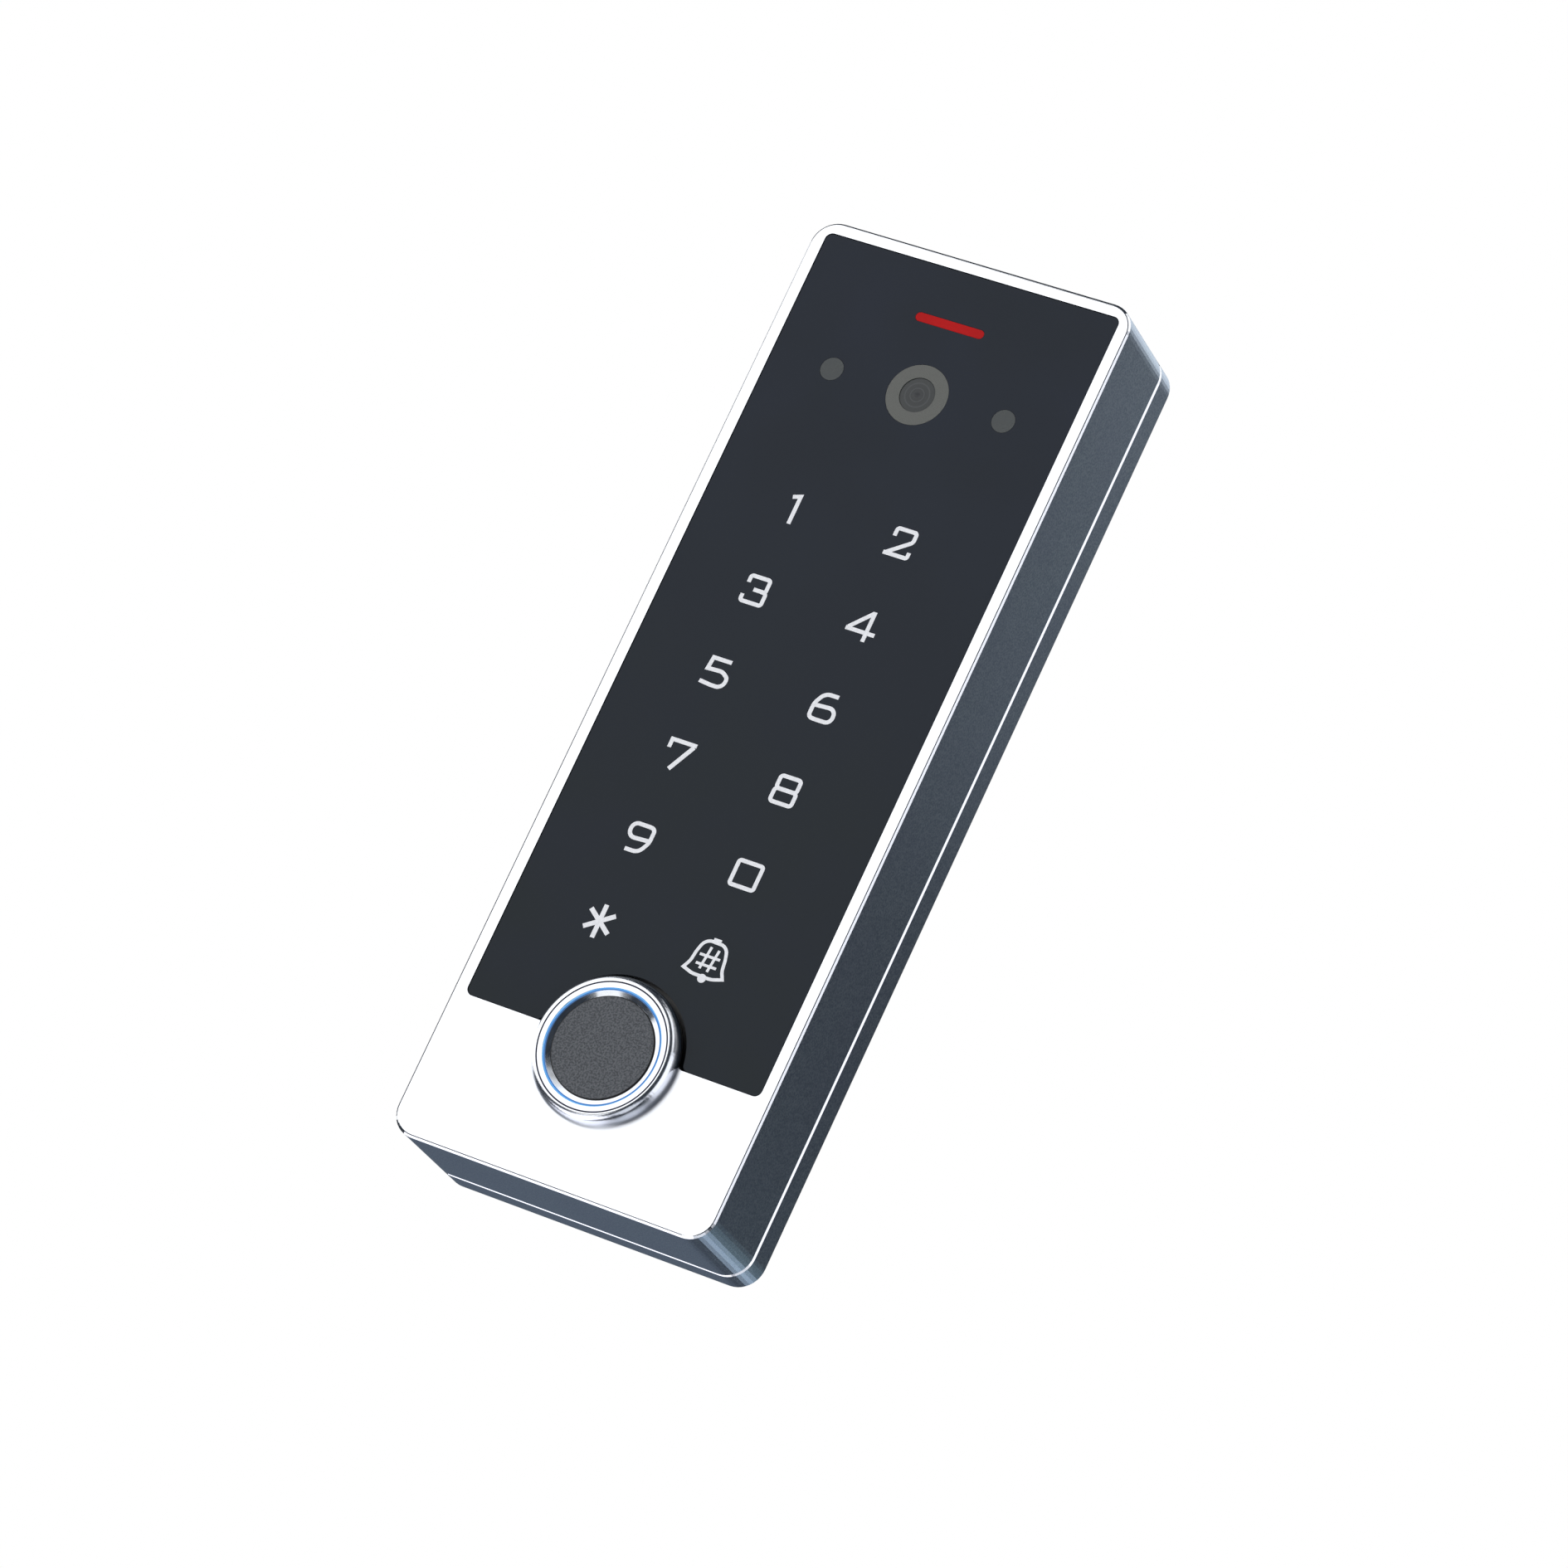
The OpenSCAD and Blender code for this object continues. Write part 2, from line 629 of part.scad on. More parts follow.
module power_parts() color("gray") {
    block(-15, 50, 7, 7, board_back, board_back + 3);
    block(-5, 52, 5, 4, board_back, board_back + 1.2);
    for (x = [5, 12]) rod(x, 51, board_back, board_back + 4.8, 2.6);
}

module clock_cell() color("silver") {
    rod(13, -42, board_back + 0.6, board_back + 2.6, 6.2);
    block(13, -42, 9, 15, board_back, board_back + 0.55);
}

module flex_sockets() color("ivory") {
    for (s = [[-12, 34, 8], [8, 41, 10], [0, -48, 7]])
        difference() {
            block(s[0], s[1], s[2], 3, board_t - 1.2, board_t);
            block(s[0], s[1], s[2] - 1, 4, board_t - 0.75, board_t - 0.35);
        }
}

// ---- Switches on the back of the board -----------------------------------

module tamper_switch() color("black")
    difference() {
        block(tamper_x, switch_z, 6, 6, board_back, board_back + 4.9);
        rod(tamper_x, switch_z, board_back + 0.4, board_back + 5, 1.25);
    }

// A coil spring swept round its axis as a fine tube
module tamper_spring() color("silver") {
    turns = 3;
    rings = 16 * turns;
    wire = 0.12;
    coil = 0.85;
    low = board_back + 0.55;
    rise = tamper_t - 0.15 - low;
    ring_points = [for (i = [0:rings], k = [0:7])
        let (a = 360 * turns * i / rings, b = 45 * k, r = coil + wire * cos(b))
        [tamper_x + r * cos(a), low - body_d + rise * i / rings + wire * sin(b),
            switch_z + r * sin(a)]];
    sides = [for (i = [0:rings - 1], k = [0:7])
        let (n = (k + 1) % 8) [8 * i + k, 8 * i + n, 8 * i + 8 + n, 8 * i + 8 + k]];
    polyhedron(ring_points, concat([[for (k = [7:-1:0]) k]], sides,
        [[for (k = [0:7]) 8 * rings + k]]));
}

module tamper_plunger() color("white")
    turned(tamper_x, switch_z) {
        band(0, 1.2, tamper_t, body_d + tamper_travel - 0.3);
        band(0, 0.9, tamper_t + 1, body_d + tamper_travel);
    }

module reset_switch() color("gray")
    difference() {
        block(reset_x, switch_z, 6, 6, board_back, board_back + 3.4);
        rod(reset_x, switch_z, board_back + 1.4, board_back + 4, 1.75);
    }

module reset_plunger() color("black")
    turned(reset_x, switch_z) band(0, 1.7, board_back + 1.8, board_back + 4.2);

wall_plate();
catch_spring();
catch_rivets();
front_shell();
rear_cover();
case_seal();
cover_screws();
cable_grommet();
touch_panel();
panel_tape();
key_legends();
light_guide();
key_leds();
board_tape();
touch_board();
rfid_coil();
ferrite_sheet();
touch_flex();
status_lens();
light_pipe();
status_leds();
camera_bezel();
camera_lens();
lens_barrel();
lens_holder();
image_sensor();
camera_board();
camera_flex();
ir_window(-1);  // ir_window_left
ir_window(1);  // ir_window_right
ir_leds();
bezel_ring();
ring_seal();
light_ring();
sensor_collar();
sensor_pad();
sensor_board();
led_board();
ring_leds();
sensor_holder();
sensor_nut();
sensor_flex();
main_board();
board_screws();
processor();
shield_can();
memory_chips();
radio_module();
lock_relay();
buzzer();
wire_terminal();
power_parts();
clock_cell();
flex_sockets();
tamper_switch();
tamper_spring();
tamper_plunger();
reset_switch();
reset_plunger();
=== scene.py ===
"""Looks of the wall-mounted access terminal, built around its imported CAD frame.

Everything is in metres in the row frame: X across the face, Z up the wall and +Y into the wall.
"""

import math

import bpy
from mathutils import Matrix, Vector


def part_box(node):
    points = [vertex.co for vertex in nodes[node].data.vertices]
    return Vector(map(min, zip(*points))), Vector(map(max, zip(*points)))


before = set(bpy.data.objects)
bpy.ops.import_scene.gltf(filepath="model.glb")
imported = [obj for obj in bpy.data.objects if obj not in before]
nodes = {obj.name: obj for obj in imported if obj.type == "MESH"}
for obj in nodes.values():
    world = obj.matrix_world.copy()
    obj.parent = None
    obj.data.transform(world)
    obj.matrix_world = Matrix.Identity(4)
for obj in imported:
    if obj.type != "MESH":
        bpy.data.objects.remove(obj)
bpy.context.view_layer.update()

MM = 0.001


# ---- Places read from the frame ---------------------------------------------


def middle(node):
    low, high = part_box(node)
    return (low + high) / 2


CASE_LOW, CASE_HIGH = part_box("front_shell")
CASE_MIDDLE = (CASE_LOW + CASE_HIGH) / 2
FACE_Y = CASE_LOW.y
SEAM_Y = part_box("rear_cover")[0].y
READER = middle("bezel_ring")
CAMERA_EYE = middle("camera_lens")
GLASS_LOW, GLASS_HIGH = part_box("touch_panel")


# ---- Camera -------------------------------------------------------------------


def aimed(direction_azimuth, direction_elevation):
    """Unit vector from the object: azimuth 0 is straight out of the face, 90 is +X."""
    a, e = math.radians(direction_azimuth), math.radians(direction_elevation)
    return Vector((math.sin(a) * math.cos(e), -math.cos(a) * math.cos(e), math.sin(e)))


def make_camera():
    """Below and to the right of the face, rolled so that the case leans in the picture."""
    aim = CASE_MIDDLE + Vector((2.1, 2.6, -5.9)) * MM
    distance = 1.1013
    roll = math.radians(25.13)
    back = aimed(26.287, -13.501)
    data = bpy.data.cameras.new("camera")
    data.sensor_width = 36
    data.lens = 167
    data.clip_start = 0.01
    data.clip_end = 100
    camera = bpy.data.objects.new("camera", data)
    bpy.context.scene.collection.objects.link(camera)
    turn = (-back).to_track_quat("-Z", "Y").to_matrix() @ Matrix.Rotation(roll, 3, "Z")
    camera.matrix_world = Matrix.Translation(aim + back * distance) @ turn.to_4x4()
    bpy.context.scene.camera = camera


# ---- Materials ------------------------------------------------------------------


def shade(red, green, blue):
    """A display colour, 0 to 255, as the linear colour that a shader takes."""
    def linear(v):
        v /= 255
        return v / 12.92 if v <= 0.04045 else ((v + 0.055) / 1.055) ** 2.4
    return (linear(red), linear(green), linear(blue), 1.0)


class Paint:
    """One Principled material, with short calls for the nodes that drive its sockets."""

    def __init__(self, name, colour, roughness, metallic=0.0, plain=None):
        self.material = bpy.data.materials.new(name)
        self.material.use_nodes = True
        self.tree = self.material.node_tree
        self.shader = self.tree.nodes["Principled BSDF"]
        self.shader.inputs["Base Color"].default_value = colour
        self.shader.inputs["Roughness"].default_value = roughness
        self.shader.inputs["Metallic"].default_value = metallic
        for socket, value in (plain or {}).items():
            self.shader.inputs[socket].default_value = value
        self.place = self.node("ShaderNodeTexCoord").outputs["Object"]

    def node(self, kind, **settings):
        made = self.tree.nodes.new(kind)
        for key, value in settings.items():
            setattr(made, key, value)
        return made

    def feed(self, socket, value):
        """Links an output to a socket, or sets a plain value on it."""
        if isinstance(value, bpy.types.NodeSocket):
            self.tree.links.new(value, socket)
        else:
            socket.default_value = value

    def drive(self, socket, value):
        self.feed(self.shader.inputs[socket], value)
        return self

    def math(self, operation, a, b=0.0):
        made = self.node("ShaderNodeMath", operation=operation)
        self.feed(made.inputs[0], a)
        self.feed(made.inputs[1], b)
        return made.outputs[0]

    def scaled(self, stretch):
        made = self.node("ShaderNodeMapping")
        self.feed(made.inputs["Vector"], self.place)
        made.inputs["Scale"].default_value = stretch
        return made.outputs[0]

    def noise(self, size, detail=2.0, stretch=None):
        """Noise with features of about that size in metres; stretch above 1 shortens them."""
        made = self.node("ShaderNodeTexNoise")
        self.feed(made.inputs["Vector"], self.scaled(stretch) if stretch else self.place)
        made.inputs["Scale"].default_value = 1 / size
        made.inputs["Detail"].default_value = detail
        return made.outputs["Fac"]

    def cells(self, size, metric="EUCLIDEAN", feature="F1", output="Distance"):
        made = self.node("ShaderNodeTexVoronoi", distance=metric, feature=feature)
        self.feed(made.inputs["Vector"], self.place)
        made.inputs["Scale"].default_value = 1 / size
        return made.outputs[output]

    def along(self, axis):
        made = self.node("ShaderNodeSeparateXYZ")
        self.feed(made.inputs[0], self.place)
        return made.outputs["XYZ".index(axis)]

    def radius(self, centre):
        """Distance from an axis that runs straight out of the face through a point."""
        x = self.math("SUBTRACT", self.along("X"), centre.x)
        z = self.math("SUBTRACT", self.along("Z"), centre.z)
        return self.math(
            "SQRT", self.math("ADD", self.math("MULTIPLY", x, x), self.math("MULTIPLY", z, z)))

    def rise(self, value, start, end, low=0.0, high=1.0):
        """Smooth change from low to high as the value goes from start to end."""
        made = self.node("ShaderNodeMapRange", interpolation_type="SMOOTHSTEP")
        self.feed(made.inputs["Value"], value)
        made.inputs["From Min"].default_value = start
        made.inputs["From Max"].default_value = end
        made.inputs["To Min"].default_value = low
        made.inputs["To Max"].default_value = high
        return made.outputs["Result"]

    def within(self, value, start, end, soft):
        """1 between start and end, 0 outside."""
        return self.math(
            "MULTIPLY",
            self.rise(value, start - soft, start + soft),
            self.rise(value, end - soft, end + soft, 1.0, 0.0))

    def mix(self, factor, a, b):
        made = self.node("ShaderNodeMix", data_type="RGBA")
        self.feed(made.inputs[0], factor)
        self.feed(made.inputs[6], a)
        self.feed(made.inputs[7], b)
        return made.outputs[2]

    def blend(self, factor, a, b):
        made = self.node("ShaderNodeMix", data_type="FLOAT")
        self.feed(made.inputs[0], factor)
        self.feed(made.inputs[2], a)
        self.feed(made.inputs[3], b)
        return made.outputs[0]

    def mottle(self, size, dark, light, detail=2.0):
        """A colour that wanders between two colours."""
        return self.mix(self.rise(self.noise(size, detail), 0.35, 0.65), dark, light)

    def bump(self, height, depth, strength=1.0):
        made = self.node("ShaderNodeBump")
        self.feed(made.inputs["Height"], height)
        made.inputs["Distance"].default_value = depth
        made.inputs["Strength"].default_value = strength
        return self.drive("Normal", made.outputs[0])

    def wear(self, size, low, high):
        """Roughness that changes from place to place."""
        return self.drive("Roughness", self.rise(self.noise(size, 3.0), 0.3, 0.7, low, high))


def case_metal(name, polished_from, polished_to):
    """Sandblasted satin metal, polished on the bevel between two depths, and painted near-black
    inside, behind the glass, as painted shade.
    """
    paint = Paint(name, shade(232, 236, 242), 0.3, 1.0)
    depth = paint.along("Y")
    bevel = paint.within(depth, polished_from, polished_to, 0.03 * MM)
    face = paint.rise(depth, FACE_Y + 0.004 * MM, FACE_Y + 0.01 * MM, 1.0, 0.0)
    smooth = paint.math("MAXIMUM", bevel, face)
    grain = paint.noise(0.26 * MM, 1.0)
    cloud = paint.noise(14 * MM, 3.0)
    blasted = paint.mix(
        paint.rise(grain, 0.36, 0.64), shade(204, 212, 222), shade(238, 244, 249))
    blasted = paint.mix(paint.rise(cloud, 0.35, 0.7, 0.0, 0.2), blasted, shade(206, 206, 226))
    # Painted shade: inside the case behind the glass, from just behind the face back to the seam,
    # the metal is painted near-black and not metallic.
    across = paint.within(paint.along("X"), GLASS_LOW.x, GLASS_HIGH.x, 0.05 * MM)
    up = paint.within(paint.along("Z"), GLASS_LOW.z, CASE_HIGH.z - 2 * MM, 0.05 * MM)
    deep = paint.within(depth, FACE_Y + 0.3 * MM, SEAM_Y, 0.1 * MM)
    recess_shade = paint.math("MULTIPLY", paint.math("MULTIPLY", across, up), deep)
    metal = paint.mix(smooth, blasted, shade(246, 248, 252))
    paint.drive("Base Color", paint.mix(recess_shade, metal, shade(18, 19, 21)))
    paint.drive("Metallic", paint.math("SUBTRACT", 1.0, recess_shade))
    rough = paint.blend(bevel, paint.rise(grain, 0.3, 0.7, 0.3, 0.36), 0.12)
    paint.drive("Roughness", paint.blend(face, rough, 0.3))
    sides = paint.math("SUBTRACT", 1.0, smooth)
    return paint.bump(paint.math("MULTIPLY", grain, sides), 0.006 * MM, 0.5)


def glass_black():
    """Glass printed black on its back: deep charcoal, with a painted reflection that makes it a
    shade bluer toward the top.
    """
    paint = Paint("black_glass", shade(30, 34, 42), 0.07, plain={"IOR": 1.27})
    # Painted reflection: the colour turns a shade bluer from the bottom of the glass to its top.
    height = paint.rise(paint.along("Z"), GLASS_LOW.z, GLASS_HIGH.z)
    cloud = paint.rise(paint.noise(22 * MM, 2.0), 0.3, 0.7)
    reflection_tint = paint.mix(height, shade(32, 41, 46), shade(36, 44, 58))
    paint.drive("Base Color", paint.mix(cloud, reflection_tint, shade(33, 41, 52)))
    return paint.wear(9 * MM, 0.05, 0.1)


def print_white():
    """Backlit print of the key figures."""
    paint = Paint("backlit_print", shade(236, 237, 240), 0.45, plain={"Emission Strength": 0.28})
    paint.drive("Base Color", paint.mottle(0.5 * MM, shade(226, 227, 230), shade(240, 241, 244)))
    paint.shader.inputs["Emission Color"].default_value = shade(238, 240, 245)
    return paint.bump(paint.noise(0.1 * MM), 0.003 * MM, 0.5)


def status_red():
    """Red diffusing lens, lit a little from behind, with a painted glow that makes it brighter
    toward its middle.
    """
    paint = Paint("status_red", shade(188, 20, 24), 0.3, plain={
        "IOR": 1.18, "Emission Strength": 0.16})
    # Painted glow: the base colour is brighter in the middle of the lens than toward its ends.
    across = paint.math("ABSOLUTE", paint.along("X"))
    paint.drive("Base Color", paint.mix(
        paint.rise(across, 1 * MM, 6 * MM), shade(186, 26, 28), shade(176, 26, 28)))
    paint.shader.inputs["Emission Color"].default_value = shade(220, 12, 14)
    return paint.bump(paint.noise(0.12 * MM), 0.004 * MM, 0.6)


def lens_ring():
    """Grey ring round the camera lens, with faint turning marks."""
    paint = Paint("lens_ring", shade(104, 106, 101), 0.42)
    turning = paint.noise(0.05 * MM, 1.0)
    radius = paint.radius(CAMERA_EYE)
    wave = paint.math("SINE", paint.math("MULTIPLY", radius, 2 * math.pi / (0.16 * MM)))
    paint.drive("Base Color", paint.mix(
        paint.rise(turning, 0.3, 0.7), shade(98, 100, 95), shade(112, 114, 109)))
    return paint.bump(wave, 0.004 * MM, 0.4)


def lens_glass():
    """Front lens: a dim grey dome, a shade lighter toward its rim, with two rings of painted
    reflection and a small dark centre of painted shade.
    """
    paint = Paint("coated_lens", shade(64, 66, 68), 0.12, plain={
        "IOR": 1.3, "Coat Weight": 0.1, "Coat Roughness": 0.04})
    radius = paint.radius(CAMERA_EYE)
    # Painted reflections: two bright rings round the middle of the lens.
    outer_ring_reflection = paint.within(radius, 1.9 * MM, 2.1 * MM, 0.08 * MM)
    inner_ring_reflection = paint.within(radius, 1.05 * MM, 1.2 * MM, 0.06 * MM)
    # Painted shade: the middle of the lens is painted darker.
    pupil_shade = paint.rise(radius, 0.25 * MM, 0.6 * MM, 1.0, 0.0)
    glass = paint.mix(paint.rise(radius, 0, 2.8 * MM), shade(70, 72, 74), shade(76, 79, 79))
    glass = paint.mix(paint.math("MAXIMUM", outer_ring_reflection, inner_ring_reflection), glass, shade(88, 91, 92))
    paint.drive("Base Color", paint.mix(pupil_shade, glass, shade(56, 58, 62)))
    return paint


def infrared_window(name):
    """Smoked window over an infrared LED."""
    paint = Paint(name, shade(76, 81, 81), 0.25, plain={"IOR": 1.4})
    paint.drive("Base Color", paint.mottle(2 * MM, shade(77, 82, 83), shade(79, 84, 84)))
    return paint.wear(2 * MM, 0.25, 0.28)


def shoulder_gap(paint, radius):
    """How far the bezel's faceted shoulder lies inside its smooth quarter ellipse."""
    wide, tall, wall = 1.4 * MM, 2.3 * MM, 0.2 * MM
    flat_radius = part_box("bezel_ring")[1].x - READER.x - wide
    out = paint.math("DIVIDE", paint.math("SUBTRACT", radius, flat_radius), wide)
    up = paint.math("DIVIDE", paint.math("SUBTRACT", FACE_Y - wall, paint.along("Y")), tall)
    out = paint.math("MAXIMUM", out, 0.0)
    up = paint.math("MAXIMUM", up, 0.0)
    out = paint.math("MULTIPLY", out, out)
    up = paint.math("MULTIPLY", up, up)
    reach = paint.math("SQRT", paint.math("ADD", out, up))
    slope = paint.math("SQRT", paint.math(
        "ADD", paint.math("DIVIDE", out, wide ** 2), paint.math("DIVIDE", up, tall ** 2)))
    return paint.math("DIVIDE", paint.math("SUBTRACT", 1.0, reach), slope)


def bezel_metal():
    """Polished bezel, with the groove round its flat top painted dark navy as painted shade."""
    paint = Paint("bezel_metal", shade(240, 243, 248), 0.16, 1.0)
    radius = paint.radius(READER)
    top_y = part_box("bezel_ring")[0].y
    top = paint.rise(paint.along("Y"), top_y + 0.05 * MM, top_y + 0.15 * MM, 1.0, 0.0)
    groove_from, groove_to = 10.19 * MM, 10.43 * MM
    # Painted shade: the groove is painted dark navy, not metallic and rougher than the metal.
    groove_shade = paint.within(radius, groove_from, groove_to, 0.01 * MM)
    fine = paint.rise(paint.noise(0.9 * MM), 0.35, 0.65)
    metal = paint.mix(fine, shade(236, 239, 246), shade(240, 243, 248))
    paint.drive("Base Color", paint.mix(groove_shade, metal, shade(14, 22, 66)))
    paint.drive("Metallic", paint.math("SUBTRACT", 1.0, groove_shade))
    rough = paint.blend(top, paint.rise(fine, 0.0, 1.0, 0.2, 0.22), 0.2)
    paint.drive("Roughness", paint.blend(groove_shade, rough, 0.5))
    return paint.bump(shoulder_gap(paint, radius), 1.0)


def reader_glow():
    """Light guide ring round the reader, lit blue."""
    paint = Paint("blue_glow", shade(8, 34, 84), 0.4, plain={"IOR": 1.2, "Emission Strength": 0.9})
    uneven = paint.rise(paint.noise(5 * MM), 0.3, 0.7)
    paint.drive("Emission Color", paint.mix(uneven, shade(96, 170, 236), shade(124, 192, 246)))
    return paint


def collar_metal():
    """Polished slope round the pad, with its rim painted navy and not metallic, and a painted blue
    glow round the rim that stands in for the blue ring's light reflected in the slope.
    """
    paint = Paint("collar_metal", shade(236, 240, 246), 0.14, 1.0, plain={"Emission Strength": 1.0})
    radius = paint.radius(READER)
    # Painted reflection: the rim is painted navy, and the emission paints the blue ring's reflected
    # light on the slope as a glow.
    rim = paint.rise(radius, 9.0 * MM, 9.08 * MM)
    glow = paint.rise(radius, 8.84 * MM, 9.16 * MM)
    paint.drive("Base Color", paint.mix(rim, shade(236, 240, 246), shade(14, 50, 110)))
    paint.drive("Metallic", paint.math("SUBTRACT", 1.0, rim))
    paint.drive("Emission Color", paint.mix(glow, (0, 0, 0, 1), shade(44, 108, 172)))
    return paint.wear(2 * MM, 0.12, 0.2)


def pad_grain():
    """Grained dark grey sensing pad."""
    paint = Paint("pad_grain", shade(86, 90, 95), 0.5)
    rim = 8.0 * MM
    grain = paint.rise(paint.noise(0.28 * MM, 1.0), 0.34, 0.66)
    edge = paint.rise(paint.radius(READER), rim, rim + 0.1 * MM)
    colour = paint.mix(grain, shade(72, 76, 81), shade(103, 107, 113))
    paint.drive("Base Color", paint.mix(edge, colour, shade(24, 24, 26)))
    paint.drive("Roughness", paint.rise(grain, 0.0, 1.0, 0.6, 0.42))
    return paint.bump(grain, 0.012 * MM, 0.5)


def zinc_sheet():
    """Zinc-plated steel with soft spangles and rolling marks."""
    paint = Paint("zinc_sheet", shade(186, 190, 192), 0.38, 0.9)
    spangle = paint.cells(2.4 * MM, output="Color")
    patch = paint.rise(spangle, 0.2, 0.8)
    rolled = paint.noise(0.5 * MM, 3.0, (8, 8, 0.6))
    paint.drive("Base Color", paint.mix(
        paint.rise(rolled, 0.3, 0.7), paint.mix(patch, shade(180, 184, 187), shade(190, 193, 194)),
        shade(200, 203, 204)))
    paint.drive("Roughness", paint.rise(patch, 0.0, 1.0, 0.4, 0.46))
    return paint.bump(rolled, 0.004 * MM, 0.6)


def spring_steel(name="spring_steel"):
    """Bright brushed spring steel."""
    paint = Paint(name, shade(156, 160, 168), 0.25, 1.0)
    brushed = paint.noise(0.12 * MM, 2.0, (1, 1, 0.08))
    paint.drive("Base Color", paint.mix(
        paint.rise(brushed, 0.3, 0.7), shade(140, 144, 152), shade(182, 186, 192)))
    return paint.bump(brushed, 0.003 * MM, 0.6)


def screw_steel(name):
    """Turned, passivated screw steel."""
    paint = Paint(name, shade(176, 178, 180), 0.28, 1.0)
    paint.drive("Base Color", paint.mottle(0.4 * MM, shade(156, 158, 162), shade(192, 194, 196)))
    return paint.bump(paint.noise(0.08 * MM), 0.004 * MM, 0.6)


def plastic(name, dark, light, roughness=0.45, grain=0.09 * MM, depth=0.008 * MM):
    """Moulded plastic with a fine spark-eroded texture."""
    paint = Paint(name, dark, roughness)
    paint.drive("Base Color", paint.mottle(2.5 * MM, dark, light))
    paint.wear(1.4 * MM, roughness - 0.06, roughness + 0.08)
    return paint.bump(paint.noise(grain), depth, 0.7)


def rubber(name, dark, light):
    """Matt moulded rubber."""
    paint = Paint(name, dark, 0.72)
    paint.drive("Base Color", paint.mottle(1.5 * MM, dark, light))
    return paint.bump(paint.noise(0.18 * MM, 3.0), 0.012 * MM, 0.6)


def circuit_board(name, mask_dark, mask_light):
    """Solder mask over copper tracks, with tinned pads here and there."""
    paint = Paint(name, mask_dark, 0.34, plain={"Coat Weight": 0.25, "Coat Roughness": 0.2})
    near = paint.cells(2.6 * MM, "CHEBYCHEV")
    far = paint.cells(2.6 * MM, "CHEBYCHEV", "F2")
    track = paint.rise(paint.math("SUBTRACT", far, near), 0.05, 0.12, 1.0, 0.0)
    pad = paint.rise(paint.cells(3.4 * MM), 0.10, 0.13, 1.0, 0.0)
    green = paint.mix(track, mask_dark, mask_light)
    paint.drive("Base Color", paint.mix(pad, green, shade(198, 196, 186)))
    paint.drive("Metallic", paint.rise(pad, 0.0, 1.0, 0.0, 0.9))
    return paint.bump(paint.math("MAXIMUM", track, pad), 0.02 * MM, 0.6)


def chip_epoxy(name):
    """Moulded epoxy package."""
    paint = Paint(name, shade(26, 27, 29), 0.55)
    paint.drive("Base Color", paint.mottle(0.2 * MM, shade(20, 21, 23), shade(34, 35, 38)))
    return paint.bump(paint.noise(0.07 * MM), 0.006 * MM, 0.8)


def tinned_can(name):
    """Tinned sheet with faint drawing marks."""
    paint = Paint(name, shade(190, 192, 194), 0.3, 1.0)
    marks = paint.noise(0.3 * MM, 2.0, (0.12, 1, 1))
    paint.drive("Base Color", paint.mix(
        paint.rise(marks, 0.3, 0.7), shade(174, 176, 180), shade(204, 206, 208)))
    return paint.bump(marks, 0.003 * MM, 0.6)


def ribbon(name):
    """Polyimide ribbon cable with copper tracks showing through."""
    paint = Paint(name, shade(190, 110, 34), 0.3, plain={"Coat Weight": 0.3})
    wave = paint.math("SINE", paint.math("MULTIPLY", paint.along("X"), 2 * math.pi / (0.5 * MM)))
    paint.drive("Base Color", paint.mix(
        paint.rise(wave, 0.1, 0.5), shade(158, 84, 24), shade(206, 132, 52)))
    return paint.bump(wave, 0.01 * MM, 0.5)


def led_package(name):
    """White LED package with its yellow phosphor dome showing."""
    paint = Paint(name, shade(236, 232, 214), 0.35)
    paint.drive("Base Color", paint.mottle(0.9 * MM, shade(236, 222, 150), shade(244, 243, 236)))
    return paint.bump(paint.noise(0.2 * MM), 0.01 * MM, 0.5)


def clear_guide(name):
    """Milky light guide with extraction dots."""
    paint = Paint(name, shade(222, 228, 232), 0.25, plain={"IOR": 1.49})
    dots = paint.rise(paint.cells(0.9 * MM), 0.22, 0.3, 1.0, 0.0)
    paint.drive("Base Color", paint.mix(dots, shade(212, 220, 226), shade(246, 248, 250)))
    return paint.bump(dots, 0.02 * MM, 0.6)


def tape(name, dark, light):
    """Foam tape with fine open cells."""
    paint = Paint(name, dark, 0.6)
    paint.drive("Base Color", paint.mottle(0.25 * MM, dark, light, 3.0))
    return paint.bump(paint.noise(0.12 * MM, 3.0), 0.01 * MM, 0.7)


def copper_coil():
    """Printed antenna: parallel copper turns."""
    paint = Paint("copper_coil", shade(190, 112, 66), 0.3, 1.0)
    wide = paint.math("ABSOLUTE", paint.along("X"))
    tall = paint.math("ABSOLUTE", paint.along("Z"))
    turn = paint.math("SINE", paint.math(
        "MULTIPLY", paint.math("ADD", wide, tall), 2 * math.pi / (0.75 * MM)))
    paint.drive("Base Color", paint.mix(
        paint.rise(turn, -0.3, 0.1), shade(96, 70, 34), shade(206, 128, 78)))
    return paint.bump(turn, 0.02 * MM, 0.6)


def ferrite():
    """Sintered ferrite sheet, cracked into small tiles."""
    paint = Paint("ferrite", shade(46, 46, 50), 0.5, 0.2)
    paint.drive("Base Color", paint.mottle(0.3 * MM, shade(38, 38, 42), shade(64, 63, 66)))
    return paint.bump(paint.cells(1.1 * MM), 0.01 * MM, 0.4)


def sensor_die():
    """Image sensor: a dark iridescent array in a ceramic frame."""
    paint = Paint("sensor_die", shade(34, 42, 56), 0.15, plain={"Coat Weight": 0.6})
    x = paint.math("ABSOLUTE", paint.math("SUBTRACT", paint.along("X"), CAMERA_EYE.x))
    z = paint.math("ABSOLUTE", paint.math("SUBTRACT", paint.along("Z"), CAMERA_EYE.z))
    outside = paint.rise(paint.math("MAXIMUM", x, z), 1.9 * MM, 2.0 * MM)
    array = paint.mottle(1.6 * MM, shade(36, 50, 78), shade(70, 44, 84))
    paint.drive("Base Color", paint.mix(outside, array, shade(120, 112, 96)))
    return paint


